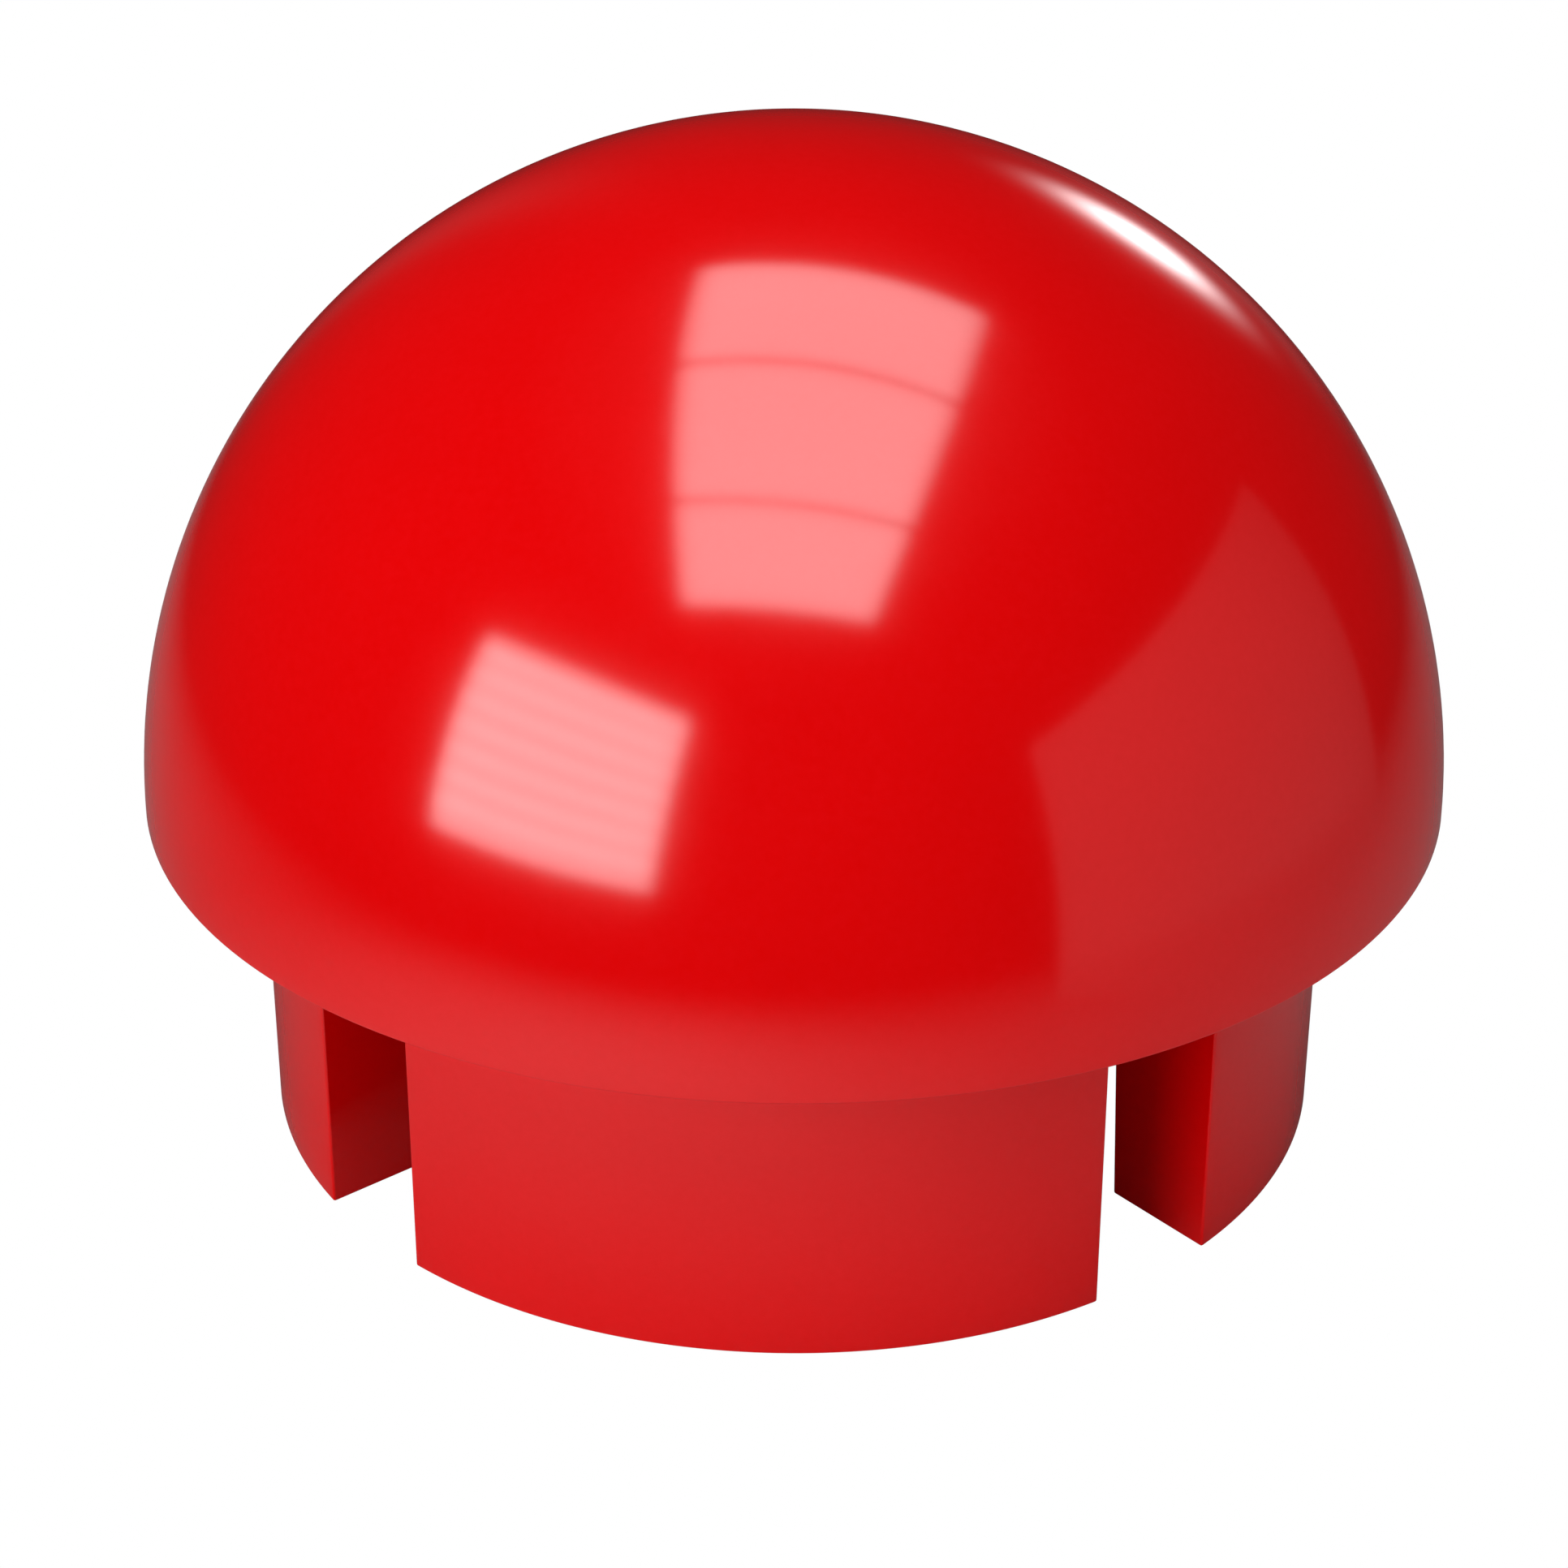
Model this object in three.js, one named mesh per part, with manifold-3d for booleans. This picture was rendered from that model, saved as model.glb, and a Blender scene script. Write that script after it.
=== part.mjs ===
// A domed tube end plug: a hollow hemisphere over four spring fingers.
// The fingers press into the bore of a round tube, the shoulder outside them sits on the tube's cut end,
// and the dome carries on the tube's outside diameter.
//
// Millimetres, +Z up. The origin is on the axis, in the plane of the finger tips.
// The fingers stand on the X and Y axes and the slots between them lie on the diagonals.

import * as THREE from "three";
import { mergeVertices } from "three/addons/utils/BufferGeometryUtils.js";
import Module from "manifold-3d";

// Driving dimensions
const TUBE_OUTSIDE_DIAMETER = 42.16; // the tube that the dome finishes flush with
const FINGER_OUTSIDE_DIAMETER = 34.9; // a little over the tube's bore, so the fingers are sprung inwards
const FINGER_LENGTH = 11.2; // from the shoulder to the tips
const SLOT_WIDTH = 4.55; // between two fingers, with parallel walls
const CORE_RADIUS_AT_TIPS = 13.55; // the hollow tapers, so that the moulding leaves its core
const CORE_RADIUS_AT_SHOULDER = 13.05;
const CORE_STRAIGHT_RISE = 6; // how far the tapered wall runs up inside the dome before it arches over
const CROWN_THICKNESS = 4.3; // wall over the top of the hollow
const ROOT_DEPTH = 0.5; // how far each finger runs up into the dome
const ROOT_CLEARANCE = 0.3; // room round a finger's root for it to flex

// Facets
const SEGMENTS_AROUND = 72;
const SEGMENTS_UP_DOME = 18;
const SEGMENTS_UP_ARCH = 9;

// Worked out from the driving dimensions
const QUARTER_TURN = Math.PI / 2;
const DOME_RADIUS = TUBE_OUTSIDE_DIAMETER / 2;
const SHOULDER_HEIGHT = FINGER_LENGTH;
const CORE_TAPER = (CORE_RADIUS_AT_TIPS - CORE_RADIUS_AT_SHOULDER) / FINGER_LENGTH;
const ARCH_HEIGHT = SHOULDER_HEIGHT + CORE_STRAIGHT_RISE;
const ARCH_RISE = DOME_RADIUS - CROWN_THICKNESS - CORE_STRAIGHT_RISE;

// The side each finger is on, in quarter turns from +X
const SIDES = ["right", "back", "left", "front"];

const wasm = await Module();
wasm.setup();

// A closed three.js geometry as a solid that can be cut and joined.
function solidOf(geometry) {
  const bare = geometry.clone();
  bare.deleteAttribute("normal");
  bare.deleteAttribute("uv");
  const merged = mergeVertices(bare);
  return new wasm.Manifold(
    new wasm.Mesh({
      numProp: 3,
      vertProperties: merged.attributes.position.array,
      triVerts: new Uint32Array(merged.index.array),
    }),
  );
}

// A solid back as a three.js geometry.
function geometryOf(solid) {
  const mesh = solid.getMesh();
  const geometry = new THREE.BufferGeometry();
  geometry.setAttribute("position", new THREE.BufferAttribute(mesh.vertProperties, 3));
  geometry.setIndex(new THREE.BufferAttribute(mesh.triVerts, 1));
  geometry.computeVertexNormals();
  return geometry;
}

// A profile of [radius, height] points turned round the Z axis.
function turned(profile) {
  const points = profile.map(([radius, height]) => new THREE.Vector2(radius, height));
  return new THREE.LatheGeometry(points, SEGMENTS_AROUND).rotateX(QUARTER_TURN);
}

// The tapered core's radius at a height.
function coreRadius(height) {
  return CORE_RADIUS_AT_TIPS - CORE_TAPER * height;
}

// A quarter ellipse of profile points, from its foot at the given height up to the axis.
function arch(radius, rise, height, segments) {
  return Array.from({ length: segments + 1 }, (_, step) => {
    const angle = (QUARTER_TURN * step) / segments;
    const onAxis = step === segments;
    return [onAxis ? 0 : radius * Math.cos(angle), height + rise * Math.sin(angle)];
  });
}

// The dome before its finger pockets are cut: outer hemisphere, flat shoulder and arched hollow.
function domeBlank() {
  const outside = arch(DOME_RADIUS, DOME_RADIUS, SHOULDER_HEIGHT, SEGMENTS_UP_DOME);
  const hollow = [
    [coreRadius(SHOULDER_HEIGHT), SHOULDER_HEIGHT],
    ...arch(coreRadius(ARCH_HEIGHT), ARCH_RISE, ARCH_HEIGHT, SEGMENTS_UP_ARCH),
  ];
  return turned([...hollow.reverse(), ...outside]);
}

// The tapered ring that the fingers are cut from, grown by a margin on its sides and top.
function fingerRing(margin) {
  const top = SHOULDER_HEIGHT + ROOT_DEPTH + margin;
  const outside = FINGER_OUTSIDE_DIAMETER / 2 + margin;
  return turned([
    [coreRadius(0) - margin, 0],
    [outside, 0],
    [outside, top],
    [coreRadius(top) - margin, top],
    [coreRadius(0) - margin, 0],
  ]);
}

// The corner between two crossing slots, turned so that its middle faces +X.
function betweenSlots(margin) {
  const reach = TUBE_OUTSIDE_DIAMETER;
  const corner = SLOT_WIDTH / 2 - margin;
  return new THREE.BoxGeometry(reach, reach, 2 * reach)
    .translate(corner + reach / 2, corner + reach / 2, 0)
    .rotateZ(-QUARTER_TURN / 2);
}

// One finger facing +X. With a margin it is the pocket that clears the finger's root.
function fingerSolid(margin = 0) {
  return solidOf(fingerRing(margin)).intersect(solidOf(betweenSlots(margin)));
}

function domeSolid() {
  const pocket = geometryOf(fingerSolid(ROOT_CLEARANCE));
  let solid = solidOf(domeBlank());
  for (const quarters of SIDES.keys()) {
    solid = solid.subtract(solidOf(pocket.clone().rotateZ(QUARTER_TURN * quarters)));
  }
  return solid;
}

function redPlastic() {
  return new THREE.MeshStandardMaterial({ color: 0xd80404, roughness: 0.22, metalness: 0 });
}

function subPart(name, solid) {
  const mesh = new THREE.Mesh(geometryOf(solid), redPlastic());
  mesh.name = name;
  return mesh;
}

const plug = new THREE.Group();
plug.add(subPart("dome", domeSolid()));
SIDES.forEach((side, quarters) => {
  const finger = subPart(`spring_finger_${side}`, fingerSolid());
  finger.rotation.z = QUARTER_TURN * quarters;
  plug.add(finger);
});

export default plug;
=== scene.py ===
"""The looks of a domed tube end plug: one glossy red moulding between softboxes in a white studio.

Metres, +Z up, in the CAD's frame: the origin is on the axis, in the plane of the finger tips.
"""

import math

import bmesh
import bpy
from mathutils import Matrix, Vector


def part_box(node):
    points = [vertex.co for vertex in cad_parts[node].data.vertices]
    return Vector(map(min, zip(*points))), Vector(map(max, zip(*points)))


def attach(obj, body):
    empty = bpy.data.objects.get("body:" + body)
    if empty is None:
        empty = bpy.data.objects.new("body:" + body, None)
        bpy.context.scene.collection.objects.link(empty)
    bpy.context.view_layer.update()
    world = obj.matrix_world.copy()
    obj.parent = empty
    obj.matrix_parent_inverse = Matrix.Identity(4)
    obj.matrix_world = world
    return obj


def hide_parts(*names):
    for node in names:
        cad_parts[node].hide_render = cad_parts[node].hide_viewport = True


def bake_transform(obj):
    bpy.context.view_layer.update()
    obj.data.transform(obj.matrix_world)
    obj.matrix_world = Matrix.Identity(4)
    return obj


MM = 0.001
QUARTER_TURN = math.pi / 2

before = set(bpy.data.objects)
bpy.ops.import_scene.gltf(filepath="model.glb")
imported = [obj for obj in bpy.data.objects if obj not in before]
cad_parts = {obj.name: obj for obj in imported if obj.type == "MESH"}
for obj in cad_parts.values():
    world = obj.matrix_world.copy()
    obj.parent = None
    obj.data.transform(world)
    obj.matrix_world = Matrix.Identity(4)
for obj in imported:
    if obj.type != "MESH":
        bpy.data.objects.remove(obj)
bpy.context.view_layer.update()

# Sizes that the CAD settles
dome_low, dome_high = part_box("dome")
_, finger_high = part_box("spring_finger_right")
DOME_RADIUS = dome_high.x
SHOULDER = dome_low.z
FINGER_RADIUS = finger_high.x

# Sizes that the CAD's boxes don't give, as in the CAD source
SLOT_WIDTH = 4.55 * MM
CORE_RADIUS_AT_TIPS = 13.55 * MM
CORE_RADIUS_AT_SHOULDER = 13.05 * MM
CORE_STRAIGHT_RISE = 6 * MM
CROWN_THICKNESS = 4.3 * MM

# Moulding detail
EDGE_ROUND = 0.08 * MM
FINGER_ROUND = 0.08 * MM
ROUND_SPARE = 0.002 * MM  # keeps a corner's radius above zero where the inset is as deep as the round
ROOT_HEIGHT = 0.3 * MM  # how far a finger runs on inside the dome's wall
ROOT_INSET = 0.06 * MM  # how much slimmer it is there
SEGMENTS_AROUND = 256
SEGMENTS_UP_DOME = 72
SEGMENTS_UP_ARCH = 28
SEGMENTS_ROUND_EDGE = 5
SEGMENTS_HALF_FINGER = 32
FINGER_BANDS = 14

# The camera, turned round the rim's centre
CAMERA_AZIMUTH = math.radians(4.955)
CAMERA_ELEVATION = math.radians(27.546)
CAMERA_ROLL = math.radians(0.153)
CAMERA_DISTANCE = 0.120
CAMERA_SHIFT_RIGHT = -0.317 * MM
CAMERA_SHIFT_UP = -0.82 * MM
CAMERA_LENS = 83.63
CAMERA_SENSOR = 36
CAMERA_NEAREST = 0.005
CAMERA_FARTHEST = 50


# ---------------------------------------------------------------- camera


def add_camera():
    """The camera at the viewing angle, looking at the middle of the rim."""
    turn = Matrix.Rotation(CAMERA_AZIMUTH, 4, "Z")
    tilt = Matrix.Rotation(QUARTER_TURN - CAMERA_ELEVATION, 4, "X")
    roll = Matrix.Rotation(CAMERA_ROLL, 4, "Z")
    shift = Matrix.Translation((CAMERA_SHIFT_RIGHT, CAMERA_SHIFT_UP, CAMERA_DISTANCE))
    centre = Matrix.Translation((0, 0, SHOULDER))
    data = bpy.data.cameras.new("camera")
    data.lens = CAMERA_LENS
    data.sensor_width = CAMERA_SENSOR
    data.clip_start = CAMERA_NEAREST
    data.clip_end = CAMERA_FARTHEST
    camera = bpy.data.objects.new("camera", data)
    bpy.context.scene.collection.objects.link(camera)
    camera.matrix_world = centre @ turn @ tilt @ roll @ shift
    bpy.context.scene.camera = camera


# ---------------------------------------------------------------- node helpers


def new_material(name):
    """An empty node material and its node tree."""
    material = bpy.data.materials.new(name)
    material.use_nodes = True
    material.node_tree.nodes.clear()
    return material, material.node_tree


def add_node(tree, kind, inputs=None, **settings):
    """A node with its settings, and its inputs set to a value or linked from a socket."""
    node = tree.nodes.new(kind)
    for key, value in settings.items():
        setattr(node, key, value)
    for key, value in (inputs or {}).items():
        if isinstance(value, bpy.types.NodeSocket):
            tree.links.new(value, node.inputs[key])
        else:
            node.inputs[key].default_value = value
    return node


def place_in(tree):
    """The object's own coordinates."""
    return add_node(tree, "ShaderNodeTexCoord").outputs["Object"]


def axes_of(tree, place):
    """The X, Y and Z of a place."""
    return add_node(tree, "ShaderNodeSeparateXYZ", {"Vector": place}).outputs


def math_node(tree, operation, *values):
    """The result of one Math node on numbers or sockets."""
    node = add_node(tree, "ShaderNodeMath", dict(enumerate(values)), operation=operation)
    return node.outputs[0]


def mapped(tree, value, start, end, at_start=0.0, at_end=1.0, **settings):
    """A value rescaled: at_start where it is start or less, at_end where it is end or more."""
    inputs = {
        "Value": value,
        "From Min": start,
        "From Max": end,
        "To Min": at_start,
        "To Max": at_end,
    }
    return add_node(tree, "ShaderNodeMapRange", inputs, **settings).outputs["Result"]


def faded(tree, value, start, end, at_start, at_end):
    """A mapped value that eases in and out."""
    return mapped(tree, value, start, end, at_start, at_end, interpolation_type="SMOOTHSTEP")


def distance_from(tree, place, point):
    """How far a place is from a point."""
    inputs = {0: place, 1: point}
    return add_node(tree, "ShaderNodeVectorMath", inputs, operation="DISTANCE").outputs["Value"]


def noise(tree, place, scale, detail):
    """A cloudy value round 0.5."""
    inputs = {"Vector": place, "Scale": scale, "Detail": detail}
    return add_node(tree, "ShaderNodeTexNoise", inputs).outputs["Fac"]


def ramp(tree, value, *stops):
    """A colour that follows a value through two stops of (position, colour)."""
    node = add_node(tree, "ShaderNodeValToRGB", {"Fac": value})
    for element, (position, colour) in zip(node.color_ramp.elements, stops):
        element.position = position
        element.color = colour
    return node.outputs["Color"]


def show(tree, shader):
    """Makes a shader the material's surface."""
    add_node(tree, "ShaderNodeOutputMaterial", {"Surface": shader})


def glow(tree, radiance):
    """An emission shader."""
    return add_node(tree, "ShaderNodeEmission", {"Strength": radiance}).outputs["Emission"]


# ---------------------------------------------------------------- red plastic

# Scales are in features to a metre
PIGMENT_SCALE = 160.0
PIGMENT_DETAIL = 2.0
PIGMENT_DEEP = (0.3, (0.768, 0.0003, 0.0011, 1))
PIGMENT_PALE = (0.7, (0.793, 0.0004, 0.0013, 1))
# The speckle multiplies the pigment
SPECKLE_SCALE = 4000.0
SPECKLE_DETAIL = 2.0
SPECKLE_DEEP = (0.25, (0.978, 0.0, 0.3, 1))
SPECKLE_PALE = (0.75, (1.0, 2.2, 1.6, 1))
SKIN_SCALE = 900.0
SKIN_DETAIL = 3.0
SKIN_LOW = 0.3
SKIN_HIGH = 0.7
SKIN_ROUGHNESS = 0.11
SKIN_ROUGHNESS_SPREAD = 0.005
SKIN_BUMP = 0.2
SKIN_DEPTH = 0.002 * MM
PLASTIC_IOR = 1.5


def red_plastic(name):
    """Glossy moulded plastic: an even pigment with faint clouding, and a skin that isn't quite flat."""
    material, tree = new_material(name)
    place = place_in(tree)
    cloud = noise(tree, place, PIGMENT_SCALE, PIGMENT_DETAIL)
    pigment = ramp(tree, cloud, PIGMENT_DEEP, PIGMENT_PALE)
    grain = noise(tree, place, SPECKLE_SCALE, SPECKLE_DETAIL)
    speckle = ramp(tree, grain, SPECKLE_DEEP, SPECKLE_PALE)
    colour = add_node(tree, "ShaderNodeVectorMath", {0: pigment, 1: speckle}, operation="MULTIPLY")
    skin = noise(tree, place, SKIN_SCALE, SKIN_DETAIL)
    smoothest = SKIN_ROUGHNESS - SKIN_ROUGHNESS_SPREAD
    roughest = SKIN_ROUGHNESS + SKIN_ROUGHNESS_SPREAD
    gloss = mapped(tree, skin, SKIN_LOW, SKIN_HIGH, smoothest, roughest)
    relief = {"Height": skin, "Strength": SKIN_BUMP, "Distance": SKIN_DEPTH}
    bump = add_node(tree, "ShaderNodeBump", relief)
    surface = {
        "Base Color": colour.outputs["Vector"],
        "Roughness": gloss,
        "Normal": bump.outputs["Normal"],
        "IOR": PLASTIC_IOR,
    }
    show(tree, add_node(tree, "ShaderNodeBsdfPrincipled", surface).outputs["BSDF"])
    return material


# ---------------------------------------------------------------- shapes


def object_from(bm, name, material):
    """The mesh as an object in the scene."""
    mesh = bpy.data.meshes.new(name)
    bm.to_mesh(mesh)
    bm.free()
    mesh.materials.append(material)
    made = bpy.data.objects.new(name, mesh)
    bpy.context.scene.collection.objects.link(made)
    return made


def moulding(bm, name, material):
    """The mesh as a smooth-shaded piece."""
    bmesh.ops.recalc_face_normals(bm, faces=bm.faces)
    piece = object_from(bm, name, material)
    piece.data.shade_smooth()
    shading = piece.modifiers.new("flat_faces_stay_flat", "WEIGHTED_NORMAL")
    shading.weight = 100
    return piece


def steps(start, end, count):
    """Evenly spaced values from start to end, in a count of steps."""
    return [start + (end - start) * i / count for i in range(count + 1)]


def core_radius(height):
    """The hollow's radius at a height: it tapers, so that the moulding leaves its core."""
    taper = (CORE_RADIUS_AT_TIPS - CORE_RADIUS_AT_SHOULDER) / SHOULDER
    return CORE_RADIUS_AT_TIPS - taper * height


def arc(centre_radius, centre_height, radius, rise, start, end, segments):
    """Profile points on part of an ellipse, by angle from the horizontal."""
    return [
        (centre_radius + radius * math.cos(a), centre_height + rise * math.sin(a))
        for a in steps(start, end, segments)
    ]


def ring(bm, radius, height):
    """A level ring of vertices, or a single one on the axis."""
    if radius == 0:
        return [bm.verts.new((0, 0, height))]
    angles = [2 * math.pi * i / SEGMENTS_AROUND for i in range(SEGMENTS_AROUND)]
    return [bm.verts.new((radius * math.cos(a), radius * math.sin(a), height)) for a in angles]


def lathe(bm, profile):
    """Turns a profile of (radius, height) round the Z axis. Its ends are on the axis."""
    rings = [ring(bm, radius, height) for radius, height in profile]
    for lower, upper in zip(rings, rings[1:]):
        for i in range(SEGMENTS_AROUND):
            j = (i + 1) % SEGMENTS_AROUND
            corners = [
                lower[i % len(lower)],
                lower[j % len(lower)],
                upper[j % len(upper)],
                upper[i % len(upper)],
            ]
            bm.faces.new(list(dict.fromkeys(corners)))


def add_dome(material):
    """The hemisphere with its flat shoulder and its arched hollow."""
    arch_foot = SHOULDER + CORE_STRAIGHT_RISE
    arch_radius = core_radius(arch_foot)
    arch_rise = DOME_RADIUS - CROWN_THICKNESS - CORE_STRAIGHT_RISE
    first_angle = math.asin(EDGE_ROUND / DOME_RADIUS)
    outside = arc(0, SHOULDER, DOME_RADIUS, DOME_RADIUS, QUARTER_TURN, first_angle, SEGMENTS_UP_DOME)
    outside[0] = (0, SHOULDER + DOME_RADIUS)
    rim_edge = arc(
        DOME_RADIUS - EDGE_ROUND,
        SHOULDER + EDGE_ROUND,
        EDGE_ROUND,
        EDGE_ROUND,
        0,
        -QUARTER_TURN,
        SEGMENTS_ROUND_EDGE,
    )
    mouth_edge = [
        (core_radius(SHOULDER) + EDGE_ROUND, SHOULDER),
        (core_radius(SHOULDER), SHOULDER + EDGE_ROUND),
    ]
    hollow = arc(0, arch_foot, arch_radius, arch_rise, 0, QUARTER_TURN, SEGMENTS_UP_ARCH)
    hollow[-1] = (0, arch_foot + arch_rise)
    bm = bmesh.new()
    lathe(bm, outside + rim_edge[1:] + mouth_edge + hollow)
    return moulding(bm, "dome_moulding", material)


def on_circle(radius, angle):
    """The point at an angle on a level circle round the axis."""
    return radius * Vector((math.cos(angle), math.sin(angle)))


def arc_on_plan(centre, radius, start, end, segments):
    """Points on a level arc of a circle."""
    return [centre + on_circle(radius, a) for a in steps(start, end, segments)]


def finger_outline(height, inset):
    """A finger's section facing +X at a height, drawn in by an inset and with round corners."""
    outer = FINGER_RADIUS - inset
    inner = core_radius(height) + inset
    wall = SLOT_WIDTH / 2 + inset
    corner = FINGER_ROUND + ROUND_SPARE - inset
    diagonal = QUARTER_TURN / 2
    wall_facing = diagonal + QUARTER_TURN
    outer_end = diagonal - math.asin((wall + corner) / (outer - corner))
    inner_end = diagonal - math.asin((wall + corner) / (inner + corner))
    outer_corner = on_circle(outer - corner, outer_end)
    inner_corner = on_circle(inner + corner, inner_end)
    axis = Vector((0, 0))
    outer_face = arc_on_plan(axis, outer, 0, outer_end, SEGMENTS_HALF_FINGER)
    outer_round = arc_on_plan(outer_corner, corner, outer_end, wall_facing, SEGMENTS_ROUND_EDGE)
    inner_round = arc_on_plan(
        inner_corner, corner, wall_facing, inner_end + math.pi, SEGMENTS_ROUND_EDGE
    )
    inner_face = arc_on_plan(axis, inner, inner_end, 0, SEGMENTS_HALF_FINGER)
    half = outer_face + outer_round[1:] + inner_round + inner_face[1:]
    mirrored = [Vector((p.x, -p.y)) for p in reversed(half[1:-1])]
    return [Vector((p.x, p.y, height)) for p in half + mirrored]


def finger_levels():
    """Heights and insets up a finger: its round tip, its sides, and a slimmer root inside the dome."""
    tip = [
        (FINGER_ROUND * (1 - math.sin(a)), FINGER_ROUND * (1 - math.cos(a)))
        for a in reversed(steps(0, QUARTER_TURN, SEGMENTS_ROUND_EDGE))
    ]
    root = SHOULDER + EDGE_ROUND
    sides = [(height, 0) for height in steps(FINGER_ROUND, root, FINGER_BANDS)[1:]]
    return tip + sides + [(root, ROOT_INSET), (root + ROOT_HEIGHT, ROOT_INSET)]


def add_finger(side, quarters, material):
    """A spring finger, turned to its side of the dome."""
    turn = Matrix.Rotation(quarters * QUARTER_TURN, 3, "Z")
    bm = bmesh.new()
    rings = [
        [bm.verts.new(turn @ point) for point in finger_outline(height, inset)]
        for height, inset in finger_levels()
    ]
    for lower, upper in zip(rings, rings[1:]):
        for i, corner in enumerate(lower):
            j = (i + 1) % len(lower)
            bm.faces.new((corner, lower[j], upper[j], upper[i]))
    bm.faces.new(list(reversed(rings[0])))
    bm.faces.new(rings[-1])
    return moulding(bm, f"spring_finger_moulding_{side}", material)


# ---------------------------------------------------------------- studio

# The studio's frame is on the rim's centre, turned with the camera: +X right, +Y away from the camera.
# Azimuths are in degrees clockwise from +Y. Levels are radiances. Each softbox is there twice: one that
# only reflections see, at the level that a mirror shows, and one that only lights the plastic's colour.

AMBIENT = 0.285
WHITE = 1.0

SOFTBOX_FADE = 0.05
SOFTBOX_EDGE_LEVEL = 0.45

OVERHEAD_CENTRE = Vector((0.036, -0.135, 0.991))
OVERHEAD_NORMAL = (0, 0, -1)
OVERHEAD_SIDE = (-0.99, 0.141, 0)
OVERHEAD_WIDTH = 0.713
OVERHEAD_LENGTH = 1.340
OVERHEAD_NEAR_LEVEL = 7.0
OVERHEAD_FAR_LOSS = 2.2
OVERHEAD_LIGHT = 2.50
SEAMS = (-0.240, 0.236)
SEAM_REACH = 0.022
SEAM_LEVEL = 0.25

LEFT_CENTRE = Vector((-0.639, -0.695, 0.330))
LEFT_NORMAL = Vector((0.655, 0.705, -0.272))
LEFT_WIDTH = 0.745
LEFT_HEIGHT = 0.563
LEFT_LEVEL = 8.8
LEFT_STRIPES = 8
LEFT_STRIPE_DEPTH = 1.2
LEFT_LIGHT = 4.50

CARD_AZIMUTH = 101
CARD_DISTANCE = 1.0
CARD_WIDTH = 1.453
CARD_TOP = 0.51
CARD_BOTTOM = -0.40
CARD_NEAR_LEVEL = 0.475
CARD_FAR_LOSS = 0.34
CARD_LIGHT = 0.47

# Glows at the back: name, azimuth, elevation, fade, level, and how many times taller than wide each is
GLOWS = [
    ("lamp", 22.6, 9.6, 0.080, 9.0, 1),
    ("lamp_haze", 18, -4, 0.12, 0.07, 1),
    ("back_haze", 341, 8, 0.09, 0.035, 4),
]
GLOW_FADES_ACROSS = 6

FLOOR_SIZE = 4.0
POOL_INNER_RADIUS = 0.046
POOL_OUTER_RADIUS = 0.102
POOL_SET_BACK = 0.006
POOL_SIZE = 2 * (POOL_OUTER_RADIUS + POOL_SET_BACK)
POOL_GAP = 0.1 * MM
# The mirrored pool's colour away from its painted light
POOL_LEVEL = 0.17
# The mirrored pool's painted light, as paler places in its colour: azimuth, distance, reach, and the
# level at the middle
POOL_PAINTED_LIGHT_LEFT = (208, 0.048, 0.050, 0.82)
POOL_PAINTED_LIGHT_RIGHT = (145, 0.045, 0.065, 0.22)
POOL_LIT_COLOUR = (0.68, 0.68, 0.68, 1)

SKY_RADIUS = 5.0
SKY_FRONT = 0.009
SKY_BACK = 0.021
SKY_TOP = 0.06
SKY_PALER_FROM = 3.6
SKY_PALER_TO = 4.7


def studio_frame():
    """The frame that the studio stands in."""
    return Matrix.Translation((0, 0, SHOULDER)) @ Matrix.Rotation(CAMERA_AZIMUTH, 4, "Z")


def direction(azimuth, elevation):
    """A unit vector in the studio's frame, from degrees."""
    a = math.radians(azimuth)
    e = math.radians(elevation)
    return Vector((math.sin(a) * math.cos(e), math.cos(a) * math.cos(e), math.sin(e)))


def facing(centre, normal, side):
    """A matrix with X along side, and Z along normal, at the centre."""
    z = Vector(normal).normalized()
    x = Vector(side)
    x = (x - x.dot(z) * z).normalized()
    turn = Matrix((x, z.cross(x), z)).transposed().to_4x4()
    return Matrix.Translation(centre) @ turn


def upright(centre, normal):
    """A matrix at the centre with Z along normal and a level X."""
    return facing(centre, normal, Vector((0, 0, 1)).cross(normal))


def seen_only_by(thing, *rays):
    """Hides a studio object from every kind of ray but those named."""
    for ray in ("camera", "diffuse", "glossy", "transmission", "volume_scatter", "shadow"):
        setattr(thing, f"visible_{ray}", ray in rays)


def panel(name, place, width, height, material, ray):
    """A glowing rectangle that only one kind of ray sees."""
    bm = bmesh.new()
    corners = [(-1, -1), (1, -1), (1, 1), (-1, 1)]
    bm.faces.new([bm.verts.new((x * width / 2, y * height / 2, 0)) for x, y in corners])
    board = object_from(bm, name, material)
    board.matrix_world = studio_frame() @ place
    seen_only_by(board, ray)


def even_glow(name, radiance):
    """The same glow all over."""
    material, tree = new_material(name)
    show(tree, glow(tree, radiance))
    return material


def falling(tree, along, near, far, level, loss):
    """A level that falls by a loss between the near end and the far end, slowly at first."""
    reach = mapped(tree, along, near, far)
    return math_node(tree, "MULTIPLY_ADD", math_node(tree, "MULTIPLY", reach, reach), -loss, level)


def dimmed_edges(tree, level, place, width, height):
    """A level that falls off towards the four edges of a softbox."""
    axes = axes_of(tree, place)
    for axis, size in (("X", width), ("Y", height)):
        reach = math_node(tree, "ABSOLUTE", axes[axis])
        fade = faded(tree, reach, size / 2 - SOFTBOX_FADE, size / 2, 1.0, SOFTBOX_EDGE_LEVEL)
        level = math_node(tree, "MULTIPLY", level, fade)
    return level


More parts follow.
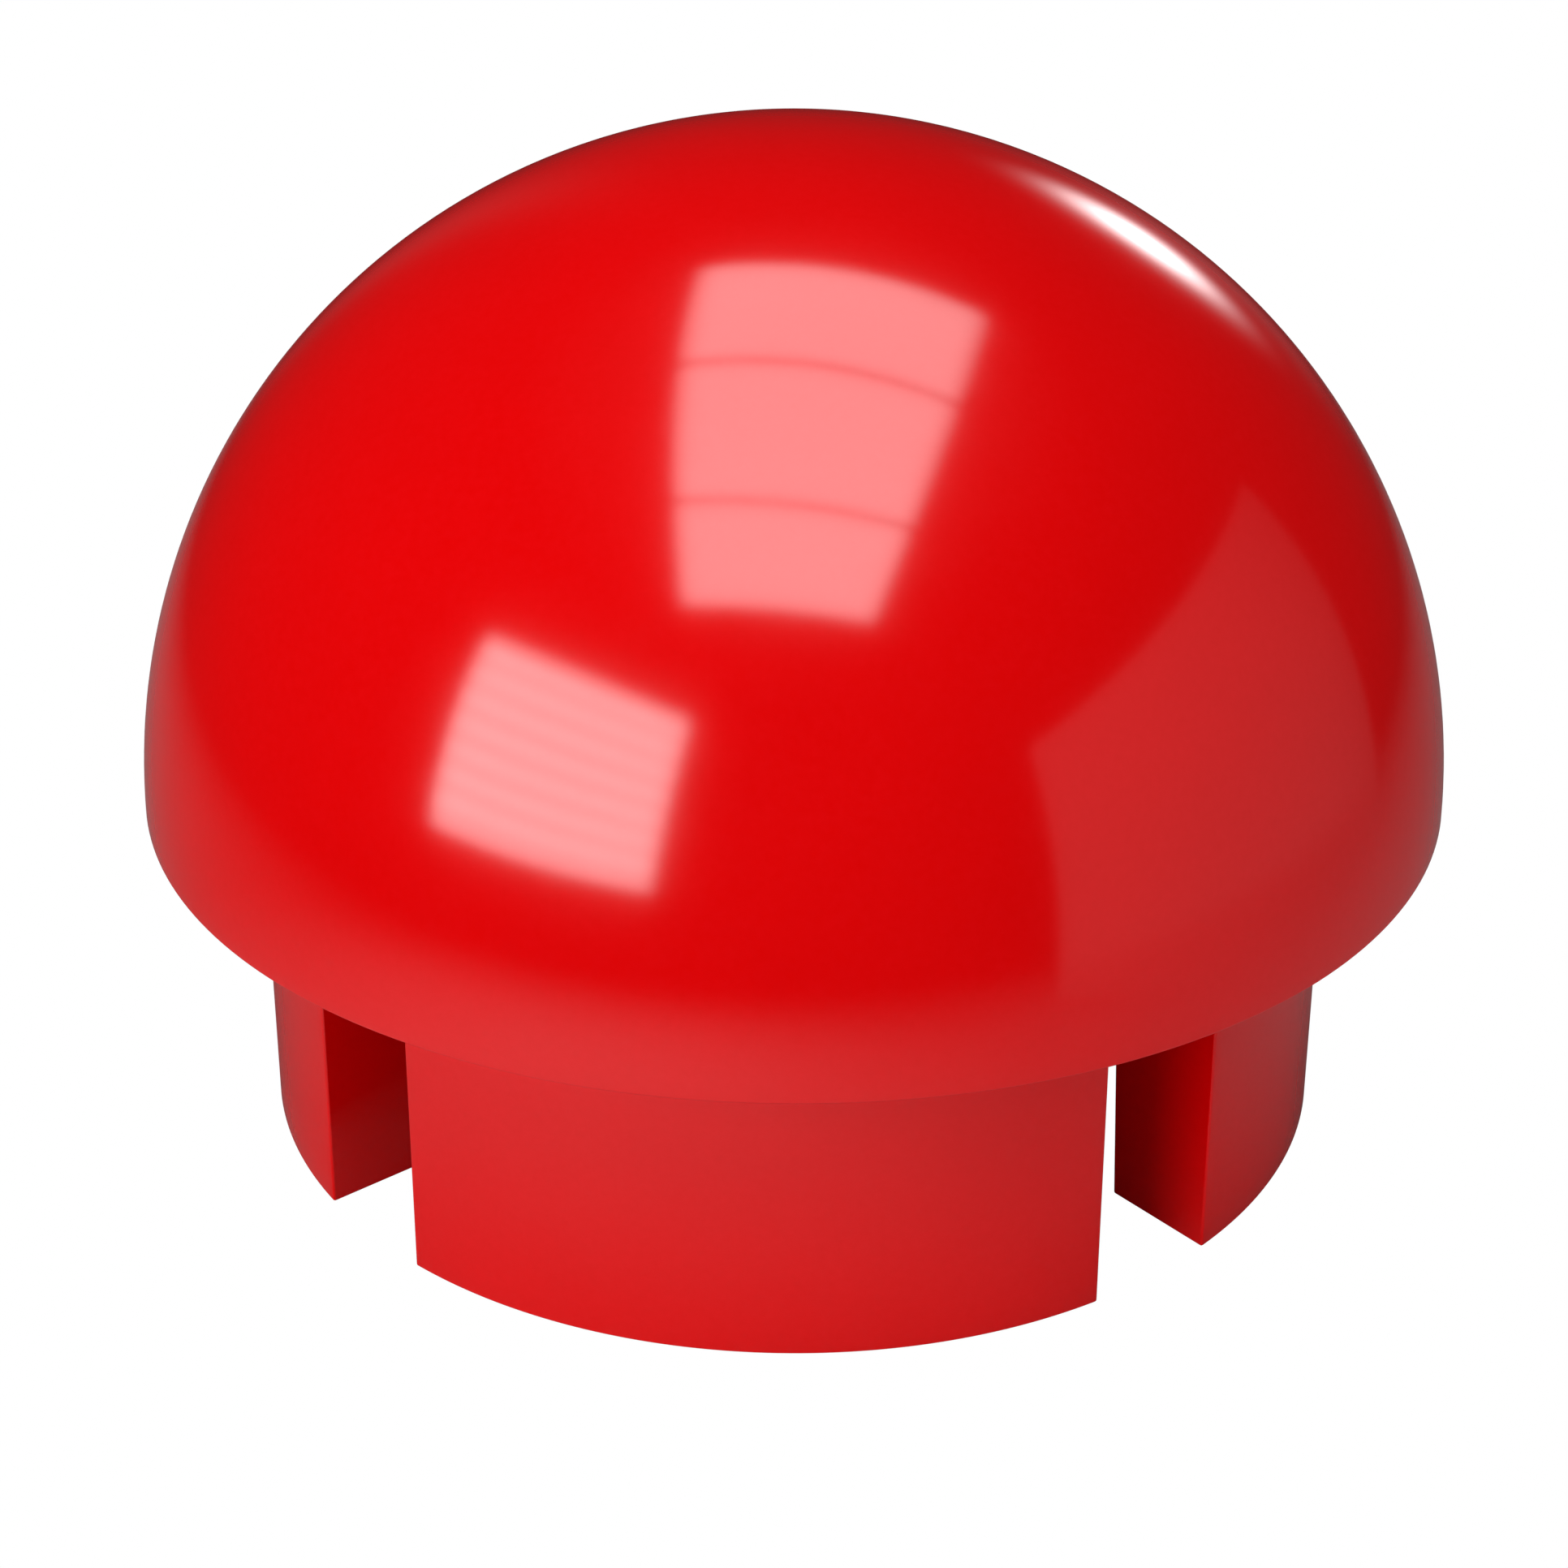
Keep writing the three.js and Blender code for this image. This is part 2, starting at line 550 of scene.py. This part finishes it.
def overhead_glow():
    """Three panes across a softbox, parted by thin darker seams."""
    material, tree = new_material("overhead_glow")
    place = place_in(tree)
    along = axes_of(tree, place)["Y"]
    gaps = [math_node(tree, "ABSOLUTE", math_node(tree, "SUBTRACT", along, seam)) for seam in SEAMS]
    nearest = math_node(tree, "MINIMUM", *gaps)
    seam = faded(tree, nearest, 0.0, SEAM_REACH, SEAM_LEVEL, 1.0)
    half = OVERHEAD_LENGTH / 2
    level = falling(tree, along, -half, half, OVERHEAD_NEAR_LEVEL, OVERHEAD_FAR_LOSS)
    panes = math_node(tree, "MULTIPLY", seam, level)
    show(tree, glow(tree, dimmed_edges(tree, panes, place, OVERHEAD_WIDTH, OVERHEAD_LENGTH)))
    return material


def left_glow():
    """A softbox with faint level stripes."""
    material, tree = new_material("left_glow")
    place = place_in(tree)
    up = axes_of(tree, place)["Y"]
    phase = math_node(tree, "MULTIPLY", up, 2 * math.pi * LEFT_STRIPES / LEFT_HEIGHT)
    wave = math_node(tree, "SINE", phase)
    striped = math_node(tree, "MULTIPLY_ADD", wave, LEFT_STRIPE_DEPTH, LEFT_LEVEL)
    show(tree, glow(tree, dimmed_edges(tree, striped, place, LEFT_WIDTH, LEFT_HEIGHT)))
    return material


def card_glow():
    """A white card that is better lit at its near end."""
    material, tree = new_material("card_glow")
    along = axes_of(tree, place_in(tree))["X"]
    half = CARD_WIDTH / 2
    show(tree, glow(tree, falling(tree, along, half, -half, CARD_NEAR_LEVEL, CARD_FAR_LOSS)))
    return material


def round_glow(name, fade, radiance):
    """A clear pane with a glow at its middle that fades like a bell curve."""
    material, tree = new_material(name)
    reach = distance_from(tree, place_in(tree), (0, 0, 0))
    ratio = math_node(tree, "DIVIDE", reach, fade)
    square = math_node(tree, "MULTIPLY", ratio, ratio)
    bell = math_node(tree, "EXPONENT", math_node(tree, "MULTIPLY", square, -1.0))
    shining = glow(tree, math_node(tree, "MULTIPLY", bell, radiance))
    clear = add_node(tree, "ShaderNodeBsdfTransparent").outputs["BSDF"]
    both = add_node(tree, "ShaderNodeAddShader", {0: shining, 1: clear})
    show(tree, both.outputs["Shader"])
    return material


def add_panels():
    """The softboxes, the card and the lamps."""
    card_centre = direction(CARD_AZIMUTH, 0) * CARD_DISTANCE
    card_centre.z = (CARD_TOP + CARD_BOTTOM) / 2
    overhead = facing(OVERHEAD_CENTRE, OVERHEAD_NORMAL, OVERHEAD_SIDE)
    left = upright(LEFT_CENTRE, LEFT_NORMAL)
    card = upright(card_centre, -direction(CARD_AZIMUTH, 0))
    softboxes = [
        ("overhead", overhead, OVERHEAD_WIDTH, OVERHEAD_LENGTH, overhead_glow(), OVERHEAD_LIGHT),
        ("left", left, LEFT_WIDTH, LEFT_HEIGHT, left_glow(), LEFT_LIGHT),
        ("card", card, CARD_WIDTH, CARD_TOP - CARD_BOTTOM, card_glow(), CARD_LIGHT),
    ]
    for name, place, width, height, mirrored, _ in softboxes:
        panel(f"{name}_mirrored", place, width, height, mirrored, "glossy")
    for name, azimuth, elevation, fade, radiance, stretch in GLOWS:
        away = direction(azimuth, elevation)
        place = upright(away, -away) @ Matrix.Diagonal((1, stretch, 1, 1))
        size = GLOW_FADES_ACROSS * fade
        panel(name, place, size, size, round_glow(f"{name}_glow", fade, radiance), "glossy")
    for name, place, width, height, _, light in softboxes:
        panel(f"{name}_light", place, width, height, even_glow(f"{name}_soft", light), "diffuse")


def add_sky():
    """A dim grey room all round, which only reflections see."""
    grey, tree = new_material("sky_glow")
    axes = axes_of(tree, place_in(tree))
    walls = faded(tree, axes["Y"], -SKY_RADIUS / 2, SKY_RADIUS / 2, SKY_FRONT, SKY_BACK)
    ceiling = faded(tree, axes["Z"], SKY_PALER_FROM, SKY_PALER_TO, 0.0, SKY_TOP)
    show(tree, glow(tree, math_node(tree, "ADD", walls, ceiling)))
    grey.cycles.emission_sampling = "NONE"
    bm = bmesh.new()
    bmesh.ops.create_uvsphere(bm, u_segments=32, v_segments=16, radius=SKY_RADIUS)
    sky = object_from(bm, "sky_mirrored", grey)
    seen_only_by(sky, "glossy")


def painted_light_spot(tree, place, spot, level_away):
    """A painted pool of light on the floor, as a paler place in its colour: azimuth, distance, reach,
    and the level at its middle.
    """
    azimuth, distance, reach, level = spot
    middle = direction(azimuth, 0) * distance
    return faded(tree, distance_from(tree, place, middle), 0.0, reach, level, level_away)


def pool_mirrored_painted_light(tree, place):
    """The mirrored floor's colour, with painted light: brightest in front on the left."""
    left = painted_light_spot(tree, place, POOL_PAINTED_LIGHT_LEFT, POOL_LEVEL)
    right = painted_light_spot(tree, place, POOL_PAINTED_LIGHT_RIGHT, 0.0)
    level = math_node(tree, "ADD", left, right)
    channels = {"Red": level, "Green": level, "Blue": level}
    return add_node(tree, "ShaderNodeCombineColor", channels).outputs["Color"]


def pool_lit_colour(tree, place):
    """An even grey."""
    return POOL_LIT_COLOUR


def pool_surface(name, colour_of):
    """A pale floor that fades out to nothing round the object."""
    material, tree = new_material(name)
    place = place_in(tree)
    reach = distance_from(tree, place, (0, POOL_SET_BACK, 0))
    edge = faded(tree, reach, POOL_INNER_RADIUS, POOL_OUTER_RADIUS, 1.0, 0.0)
    paint = add_node(tree, "ShaderNodeBsdfDiffuse", {"Color": colour_of(tree, place)}).outputs["BSDF"]
    clear = add_node(tree, "ShaderNodeBsdfTransparent").outputs["BSDF"]
    mixed = add_node(tree, "ShaderNodeMixShader", {0: edge, 1: clear, 2: paint})
    show(tree, mixed.outputs["Shader"])
    return material


def add_plane(name, size, material, *rays):
    """A level square at the height that the object stands on. It isn't part of the object."""
    bm = bmesh.new()
    bmesh.ops.create_grid(bm, x_segments=1, y_segments=1, size=size / 2)
    plane = object_from(bm, name, material)
    seen_only_by(plane, *rays)
    return plane


def add_floor():
    """The white floor that the camera sees; the pool that the plastic mirrors, lit by the lamps and
    with painted light in its colour; and the even grey pool that lights the plastic.
    """
    add_plane("floor", FLOOR_SIZE, even_glow("floor_white", WHITE), "camera")
    # The mirrored pool has painted pools of light in its colour, on top of the light that really falls
    # on it
    pale = pool_surface("pool_painted_light", pool_mirrored_painted_light)
    mirrored = add_plane("pool_mirrored", POOL_SIZE, pale, "glossy")
    mirrored.matrix_world = Matrix.Rotation(CAMERA_AZIMUTH, 4, "Z")
    grey = pool_surface("pool_grey", pool_lit_colour)
    lit = add_plane("pool_lit", POOL_SIZE, grey, "diffuse", "shadow")
    lit.matrix_world = Matrix.Translation((0, 0, -POOL_GAP))


def add_world():
    """White to the camera, and a dim even fill on the object."""
    world = bpy.data.worlds.new("world")
    world.use_nodes = True
    tree = world.node_tree
    tree.nodes.clear()
    seen = add_node(tree, "ShaderNodeLightPath").outputs["Is Camera Ray"]
    strength = mapped(tree, seen, 0.0, 1.0, AMBIENT, WHITE)
    background = {"Color": (1, 1, 1, 1), "Strength": strength}
    shader = add_node(tree, "ShaderNodeBackground", background).outputs["Background"]
    add_node(tree, "ShaderNodeOutputWorld", {"Surface": shader})
    world.cycles_visibility.glossy = False
    bpy.context.scene.world = world


# ---------------------------------------------------------------- assembly

add_camera()
bpy.context.scene.view_settings.view_transform = "Standard"
bpy.context.scene.view_settings.look = "None"
add_world()
add_floor()
add_sky()
add_panels()

skin = red_plastic("red_plastic_skin")

dome = add_dome(skin)
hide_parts("dome")
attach(dome, "dome_body")

for quarters, side in enumerate(("right", "back", "left", "front")):
    finger = add_finger(side, quarters, skin)
    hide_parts(f"spring_finger_{side}")
    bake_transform(finger)
